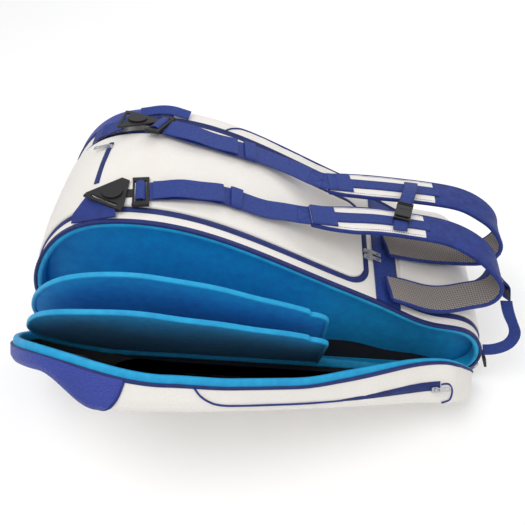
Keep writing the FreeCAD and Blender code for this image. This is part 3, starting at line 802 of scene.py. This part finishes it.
lines = [([-186, -190, -197, -208, -224, -246, -285], [0.05, 0.3, 0.6, 0.85, 1.05, 1.17, 1.25], 60),
         ([-93, -84, -72, -58, -35, 40, 126], [0.08, 0.3, 0.46, 0.56, 0.6, 0.6, 0.6], 120),
         ([303, 318, 330, 338, 336, 326, 312], [0.44, 0.42, 0.45, 0.58, 0.72, 0.83, 0.9], 60)]
for side, name, across in ((-1, "near", (0, -0.66, 0.75)), (1, "far", (0, 1, 0.1))):
    shown = lines[:3 if side < 0 else 2]
    run = [tube(tray_line(side, *line), 1.5, 8, across) for line in shown]
    obj = piece(name + "_tray_piping", run, BIND, name + "_tray", (), None)
    if side < 0:
        flexes(obj)
xs = np.linspace(124, 300, 110)
sec = np.array(zip_section(9.4, 1.2, 2.0))
at = s_top(xs)[:, None] + 0 * sec[None, :, 0]
wide = np.interp(xs, [124, 150, 240], [0.35, 0.6, 1.0])[:, None]
qq = np.interp(xs, [124, 284, 300], [0.6, 0.475, 0.465])[:, None] + wide * sec[None, :, 0] / 52
p = set_tray(on_tray(at, qq, wide * sec[None, :, 1] + 0.1), -1, 1)
flexes(piece("tray_pocket_zip", [grid(capped(p), False, True)], TAPE, "near_tray",
             ("near_pocket_tape",), 60))


# ---- folds of the trays ----
def fold(side, name):
    """Black lining across a fold, from the body's floor round the fold's room to the tray; its band
    up the wall is painted shade.
    """
    xs = np.linspace(-342, 362, 130)
    t = np.linspace(0, 1, 15)
    if side < 0:
        y = -112 - 31 * t
        z = 6.3 - 1.2 * np.sin(t * np.pi)
    else:
        y = 95.6 + 43 * t
        z = 6.3 - 1.0 * np.sin(t * np.pi)
    under = np.concatenate([UP[HEAD_I:], BELLY, UP[:END_I]])
    low = np.interp(xs, under[:, 0], under[:, 1])
    up = np.stack([np.broadcast_to(xs[:, None], (130, 15)), np.broadcast_to(y, (130, 15)),
                   z[None] + low[:, None]], -1)
    # height of the black band up the wall in front of the blue lining: painted shade at the
    # compartment's bottom, highest near x = 110
    shade_climb = np.interp(xs, [-342, -250, 40, 110, 200, 300, 362], [10, 22, 40, 62, 48, 22, 4])
    shade_climb = shade_climb + 3 * np.sin(xs * 0.05)
    v = np.linspace(1, 0, 9)[:-1]
    shade_rows = np.stack([np.broadcast_to(xs[:, None], (130, 8)),
                          np.full((130, 8), y[0]),
                          6.3 + low[:, None] + shade_climb[:, None] * v[None]], -1)
    up = np.concatenate([shade_rows, up], 1)
    dn = up + np.array([0, -side * 1.0, -1.3])
    layers = two_sided(up, dn)
    obj = piece(name, [grid(capped(layers), False, True)], BLACK_AND_SHADE, None, (), 60)
    if side < 0:
        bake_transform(obj)
    else:
        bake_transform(obj)


fold(-1, "near_fold_lining")
fold(1, "far_fold_lining")


# ---- dividers ----
def divider(name, axis_y, axis_z, angle, seed):
    """Padded divider: the outline drawn in, cut off with a rounded corner at its narrow end,
    crowned both ways, and turned about its fold; and the bound edge that goes round it."""
    base = RING + RING_N * -10.5
    keep = base[(base[:, 0] < 98) & (base[:, 1] > axis_z + 9)]
    order = np.argsort(np.arctan2(keep[:, 1] - axis_z, keep[:, 0] + 120))
    keep = keep[order]
    high = keep[keep[:, 1] > 100]
    top_z = float(high[np.argmax(high[:, 0]), 1])
    a = np.linspace(0, np.pi / 2, 12)
    r = 30
    corner = np.stack([98 - r + r * np.cos(a), top_z - r + 4 + r * np.sin(a)], -1)
    body_line = keep[(keep[:, 0] < 98 - r) & (keep[:, 1] > axis_z + 12)]
    low = np.array([(98, axis_z + 9), (98, top_z - r - 20)], float)
    line = np.concatenate([low, corner, body_line, [(float(body_line[-1, 0]), axis_z + 9)]])
    line = even(line, 260)
    mid = np.array([-120.0, 150.0])
    rr = np.sin(np.linspace(0, np.pi / 2, 26))[:, None, None]
    f = mid + (line - mid)[None] * rr
    thick = 1.9 + 1.3 * (1 - rr[..., 0] ** 2) ** 0.5
    bend = 3.0 * ripple(f[..., 0] * 0.35, f[..., 1] * 0.3, seed) * smooth(f[..., 1], 40, 160)
    c, s = math.cos(angle), math.sin(angle)

    def turned(x, y, z):
        dy, dz = y, z - axis_z
        return np.stack([x, axis_y + dy * c - dz * s, axis_z + dy * s + dz * c], -1)

    face = turned(f[..., 0], bend - thick, f[..., 1])
    back = turned(f[..., 0], bend + thick, f[..., 1])
    layers = np.concatenate([face, back[::-1]])
    piece(name, [grid(layers, False, True)], BLUE, name, (name,), 60)
    x, z = line.T
    path = turned(x, 3.0 * ripple(x * 0.35, z * 0.3, seed) * smooth(z, 40, 160), z)
    piece(name + "_bound_edge", [sweep(path, (0, -c, -s), flat(8.4, 7.0, 14, 0.6))], BRIGHT,
          name)


divider("divider_one", -126.0, 25.0, math.radians(17), 0.5)
divider("divider_two", -133.0, 22.0, math.radians(26), 1.6)


# ---- shoulder pads and straps ----
PAD_A = [
    (62, -40, 302), (114, -31, 290), (174, -17, 278), (240, -12, 267), (300, -15, 259),
    (348, -36, 250), (376, -60, 236), (390, -71, 214), (382, -77, 190), (352, -78, 174),
    (309, -84, 166), (272, -90, 173), (240, -94, 187), (204, -101, 205)]
PAD_B = [
    (93, 57, 292), (124, 62, 287), (180, 71, 278), (245, 79, 268), (301, 80, 262),
    (346, 74, 256), (378, 55, 248), (398, 34, 234), (405, 22, 214), (394, 18, 192),
    (368, 24, 176), (332, 30, 167), (290, 26, 172), (256, 20, 181), (206, 6, 201)]
WEB_A = [
    (-192, -71, 362), (-160, -66, 361), (-115, -57, 354), (-70, -47, 340), (-18, -46, 320),
    (24, -41, 308), (60, -40, 303.5), (90, -36, 301.5)]
BOX = 17                    # half side of the box stitch that joins a strap to its pad
WEB_B = [
    (-188.5, 90.2, 367.5), (-150, 79, 363), (-110, 77, 352), (-70, 80, 340), (-25, 85, 323),
    (40, 73, 304), (90, 57.5, 297.5), (112, 59.5, 295.5)]


def pad(name, route, start_width, end_width, node, turn_at):
    """Foam shoulder pad: cloth top, mesh underside, bound edges, webbing down its middle, and
    a solid navy stretch after its turn."""
    path = spline(route, 260)
    _, side, top = frames(path, (0, 1, 0))
    share = np.linspace(0, 1, len(path))
    width = np.interp(share, [0, 0.05, 0.13, 0.9, 1], [start_width, start_width + 8, 58, 56,
                                                         end_width])
    a = np.linspace(0, np.pi, 21)
    c, s = np.cos(a), np.sin(a)
    across = full(c, 0.55)
    crown = np.abs(s) ** 0.55
    run = np.arange(len(path))[:, None] * 1.0
    soft = 0.35 * ripple(run * 5, across * 60, len(name)) * crown

    def half(sign, lift):
        w = width[:, None] / 2 * across[None]
        h = sign * (0.05 + lift * crown[None]) + sign * soft
        close = np.linspace(-1, 1, 9)[None, 1:-1] * width[:, None] / 2
        w = np.concatenate([w, close], 1)
        h = np.concatenate([h, np.zeros_like(close)], 1)
        return np.stack([w, h], -1)

    i = int(turn_at * len(path))
    upper, lower = half(1, 4.6), half(-1, 4.4)
    obj = piece(name + "_cloth", [sweep(path[:i], (0, 1, 0), upper[:i])], WHITE, "bag",
                (node,), 70)
    piece(name + "_turn_cloth", [sweep(path[i - 1:], (0, 1, 0), upper[i - 1:])], BIND,
                    "bag", (), 70)
    piece(name + "_mesh", [sweep(path, (0, 1, 0), lower)], MESH, "bag", (),
                    70)
    edges = []
    for sign in (-1, 1):
        line = path + side * (sign * (width[:, None] / 2 - 0.6))
        edges.append(sweep(line, (0, 1, 0), flat(4.6, 7.2, 12, 0.8)))
    for k in (-1, 0):
        line = path[k] + side[k] * np.linspace(-1, 1, 12)[:, None] * (width[k] / 2 - 1)
        edges.append(sweep(line, (1.0, 0, 0.2), flat(4, 7.2, 12, 0.8)))
    piece(name + "_binding", edges, BIND, "bag", (), 70)
    web = path + top * 5.4
    sewn = sweep(even(path[:20] + top[:20] * 5.6, 24), (0, 1, 0), flat(44, 3.0, 24, 0.25))
    piece(name + "_sewn_patch", [sewn], NAVY, "bag", (), 60)
    a, b = int(0.06 * len(path)), i + 4
    piece(name + "_webbing", [sweep(web[a:b], (0, 1, 0), flat(23, 2.0, 20))], NAVY_SLIM, "bag",
          (), 60)
    stitch = []
    for sign in (-1, 1):
        line = path[a:b] + side[a:b] * (sign * 9.9) + top[a:b] * 6.45
        stitch.append(dashes(line, top[a:b]))
        line = path[4:i] + side[4:i] * (sign * (width[4:i, None] / 2 - 5.2)) + top[4:i] * 4.1
        stitch.append(dashes(line, top[4:i]))
    piece(name + "_stitches", stitch, NAVY_THREAD, "bag", (), None)


pad("pad_a", PAD_A, 42, 50, "shoulder_pad_a", 0.35)
pad("pad_b", PAD_B, 46, 50, "shoulder_pad_b", 0.345)

for name, route, node in (("strap_a", WEB_A, "webbing_a"), ("strap_b", WEB_B, "webbing_b")):
    path = spline(route, 220)
    _, side, top = frames(path, (0, 1, 0))
    run = np.linspace(0, 1, len(path))
    wave = 2.2 * np.sin(run * 9.0) * smooth(run, 0.05, 0.3) * smooth(1 - run, 0.12, 0.35)
    path = path + top * np.maximum(wave, -0.8)[:, None]
    main = sweep(path, (0, 1, 0), flat(42, 2.1, 26, 0.2))
    # doubled end that hangs loose after the frame, and a keeper over both
    tail_i = int(0.40 * len(path))
    tail = path[4:tail_i] + top[4:tail_i] * (2.6 + 2.6 * np.sin(np.linspace(0, np.pi * 1.5,
                                             tail_i - 4)) ** 2)[:, None]
    doubled = sweep(tail, (0, 1, 0), flat(41, 2.0, 26, 0.2))
    piece(name, [main, doubled], NAVY, "bag", (node,), 60)
    k = int(0.47 * len(path))
    box = flat(46, 7.4, 28, 0.25) + np.array([0, 1.8])
    keeper = sweep(path[k - 7:k + 8], (0, 1, 0), box)
    piece(name + "_keeper", [keeper], NAVY, "bag", (), 60)
    # box stitch where it is sewn to the pad
    line, over, up = path[-38:-2], side[-38:-2], top[-38:-2]
    rows = [dashes(line + over * w + up * 1.35, up) for w in (-BOX, BOX)]
    for j in (0, 35, 17, 18):
        rows.append(dashes(line[j] + over[j] * np.linspace(-BOX, BOX, 12)[:, None]
                           + up[j] * 1.35, up[j]))
    for w in (BOX, -BOX):
        rows.append(dashes(line + over * np.linspace(-w, w, len(line))[:, None] + up * 1.4, up))
    piece(name + "_box_stitch", rows, NAVY_THREAD, "bag", (), None)

lifters = {
    "load_lifter_a": ([(408, -96, 185), (413, -101.5, 172), (425, -112, 150), (436, -120, 126),
                       (431, -126, 107), (415, -129, 94), (397, -128, 86), (390.5, -127, 84)],
                      (-0.5, 0.3, 0.2)),
    "load_lifter_b": ([(410, 11, 183), (409, 8, 174), (404, 1, 152), (396, -4, 132),
                       (383, -8, 121)], (0, 1, 0))}
for node, (route, across) in lifters.items():
    path = spline(route, 90)
    piece(node.replace("load_", "") + "_webbing", [sweep(path, across, flat(20, 1.9, 20))],
          NAVY_SLIM, "bag", (node,), 60)


def loop_over_bar(name, at, turn, normal):
    """Webbing wrapped over a swivel frame's middle bar, from one slot to the other."""
    z = unit(np.array(normal, float))
    x = np.array([math.cos(turn), math.sin(turn), 0.0])
    x = unit(x - z * x.dot(z))
    bow = np.array([(35.9, 0.2), (36.0, 4.8), (38.2, 7.2), (42.3, 8.0), (46.6, 7.3), (49.0, 4.9),
                    (49.2, 0.4)])
    route = np.array(at) + bow[:, :1] * x + bow[:, 1:] * z
    band = sweep(spline(route, 40), np.cross(z, x), flat(43, 2.0, 24, 0.2))
    piece(name, [band], NAVY, "bag", (), 60)


loop_over_bar("strap_a_loop", (-248, -80, 359.0), math.radians(9), (0, 0, 1))
loop_over_bar("strap_b_loop", (-243, 107, 363.5), math.radians(-17), (0, 0.2, 0.98))
for name, route in (("lifter_a_loop", [(391, -79, 224), (398, -84, 219), (402.5, -87, 212),
                                       (403.5, -88, 207), (405, -91, 200), (407.5, -95, 189)]),
                    ("lifter_b_loop", [(402, 22, 224), (408, 21.5, 219), (411.5, 21, 212),
                                       (412, 20, 205), (411.5, 17, 195), (410.5, 12, 185)])):
    way = (-0.35, 0.75, 0.0) if "_a_" in name else (0, 1, 0)
    piece(name, [sweep(spline(route, 50), way, flat(20, 1.9, 20))], NAVY_SLIM, "bag",
          (), 60)

chest = {
    "chest_webbing_b": ([(246, 92, 276.6), (243, 74, 281.5), (236, 50, 285), (229.1, 27.4, 284.2)],
                        "chest_far_half"),
    "chest_webbing_a": ([(217.2, -16.4, 281.6), (215.8, -26, 281.2), (214.3, -38, 280.4)],
                        "chest_near_half")}
for node, (route, body) in chest.items():
    band = sweep(spline(route, 60), (1, 0, 0), flat(24, 1.9, 20))
    piece(node.replace("webbing", "band"), [band], NAVY_SLIM, body, (node,), 60)

route = [(-245, 146, 356.4), (-232, 147.5, 358.4), (-216, 149, 361.2), (-200, 149.6, 362.4),
         (-184, 149, 361.2), (-170, 147.5, 358.2), (-158, 146, 355.6)]
piece("grab_handle_webbing", [sweep(spline(route, 120), (0, 0.97, 0.24), flat(20, 3.0, 22))],
      NAVY, "grab_handle", ("grab_handle",), 60)


# ---- plastic and metal from the frame, with rounded edges ----
def rounded(node, material, body, width=0.7, name=None):
    """A copy of a CAD node with its edges bevelled, standing for it."""
    src = frame["nodes"][node]
    mesh = src.data.copy()
    bm = bmesh.new()
    bm.from_mesh(mesh)
    bmesh.ops.remove_doubles(bm, verts=bm.verts, dist=2e-5)
    bmesh.ops.dissolve_limit(bm, angle_limit=math.radians(1.5), verts=bm.verts, edges=bm.edges)
    bmesh.ops.recalc_face_normals(bm, faces=bm.faces)
    bm.to_mesh(mesh)
    bm.free()
    mesh.materials.clear()
    mesh.materials.append(material)
    obj = bpy.data.objects.new(name or node + "_moulding", mesh)
    bpy.context.scene.collection.objects.link(obj)
    mod = obj.modifiers.new("edges", "BEVEL")
    mod.width = width * MM
    mod.segments = 2
    mod.limit_method = "ANGLE"
    mod.angle_limit = math.radians(35)
    mod.use_clamp_overlap = True
    mesh.polygons.foreach_set("use_smooth", np.ones(len(mesh.polygons), bool))
    mesh.set_sharp_from_angle(angle=math.radians(40))
    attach(obj, body)
    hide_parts(node)


body_of = {node: body for body, nodes in frame["record"]["behaviour"]["bodies"].items()
           for node in nodes}
for node in ("swivel_frame_a", "swivel_frame_b", "swivel_plate_a", "swivel_plate_b",
             "chest_buckle_female", "chest_buckle_male", "buckle_prong_left",
             "buckle_prong_right", "ladder_lock_a", "ladder_lock_b", "lifter_clip_a"):
    rounded(node, PLASTIC, body_of[node], 0.6)
for node in ("lid_far_way_slider", "lid_far_way_pull", "lid_near_way_slider", "lid_near_way_pull",
             "head_pocket_slider", "head_pocket_pull", "near_main_slider", "near_main_pull",
             "tray_pocket_slider", "tray_pocket_pull"):
    rounded(node, SILVER, body_of[node], 0.35)
for node in ("strap_tab_a", "strap_tab_b", "far_end_tab"):
    rounded(node, BIND, body_of[node], 0.6, node + "_cloth")
for node, obj in frame["nodes"].items():
    if not obj.hide_render:
        material = {"base_stiffener": PLASTIC}.get(node, BIND)
        obj.data.materials.clear()
        obj.data.materials.append(material)


# ---- floor, light, camera ----
def plain(name, colour, rough):
    m = bpy.data.materials.new(name)
    m.use_nodes = True
    t = m.node_tree
    shader = t.nodes["Principled BSDF"]
    noise = add(t, "ShaderNodeTexNoise", None, Scale=3.0, Detail=3.0)
    ramp = add(t, "ShaderNodeMapRange", None, i0=noise.outputs["Fac"], i1=0.0, i2=1.0,
               i3=rough - 0.05, i4=rough + 0.05)
    t.links.new(ramp.outputs[0], shader.inputs["Roughness"])
    shader.inputs["Base Color"].default_value = colour
    return m


bpy.ops.mesh.primitive_plane_add(size=14, location=(0, 0, -0.0006))
floor = bpy.context.object
floor.name = "floor"
floor.data.materials.append(plain("pale_floor", (0.99, 0.99, 0.99, 1), 0.6))

world = bpy.data.worlds.new("studio")
world.use_nodes = True
world.node_tree.nodes["Background"].inputs[0].default_value = (1.0, 1.0, 1.0, 1)
world.node_tree.nodes["Background"].inputs[1].default_value = 0.68
bpy.context.scene.world = world
bpy.context.scene.view_settings.view_transform = "Standard"


def lamp(name, place, aim, size, power):
    data = bpy.data.lights.new(name, "AREA")
    data.shape = "DISK"
    data.size = size
    data.energy = power
    obj = bpy.data.objects.new(name, data)
    bpy.context.scene.collection.objects.link(obj)
    way = Vector(place) - Vector(aim)
    obj.matrix_world = Matrix.Translation(place) @ way.to_track_quat("Z", "Y").to_matrix().to_4x4()


lamp("key", (-0.9, -0.7, 2.4), (0, 0, 0.1), 1.6, 24)
lamp("fill", (1.6, -1.8, 1.5), (0, 0, 0.1), 2.0, 10)
lamp("rim", (0.6, 1.9, 1.8), (0, 0, 0.2), 1.6, 12)

RISE, YAW, ROLL = math.radians(46.92), math.radians(0.91), math.radians(2.87)
AIM = (0, -34.5, 150.0)     # near the bag's middle
DISTANCE = 1181.4
SHIFT = (11.72, 19.63)      # the camera stands this far left of the aim and above it
back = np.array([math.sin(YAW) * math.cos(RISE), -math.cos(YAW) * math.cos(RISE),
                 math.sin(RISE)])
right0 = np.array([math.cos(YAW), math.sin(YAW), 0.0])
up0 = np.cross(back, right0)
right = right0 * math.cos(ROLL) + up0 * math.sin(ROLL)
up = -right0 * math.sin(ROLL) + up0 * math.cos(ROLL)
eye = (np.array(AIM) + back * DISTANCE - right * SHIFT[0] + up * SHIFT[1]) * MM
camera = bpy.data.cameras.new("view")
camera.sensor_width = 36.0
camera.lens = 44.47
camera.clip_end = 50
view = bpy.data.objects.new("view", camera)
view.matrix_world = Matrix(((right[0], up[0], back[0], eye[0]), (right[1], up[1], back[1], eye[1]),
                            (right[2], up[2], back[2], eye[2]), (0, 0, 0, 1)))
bpy.context.scene.collection.objects.link(view)
bpy.context.scene.camera = view

bpy.context.view_layer.update()
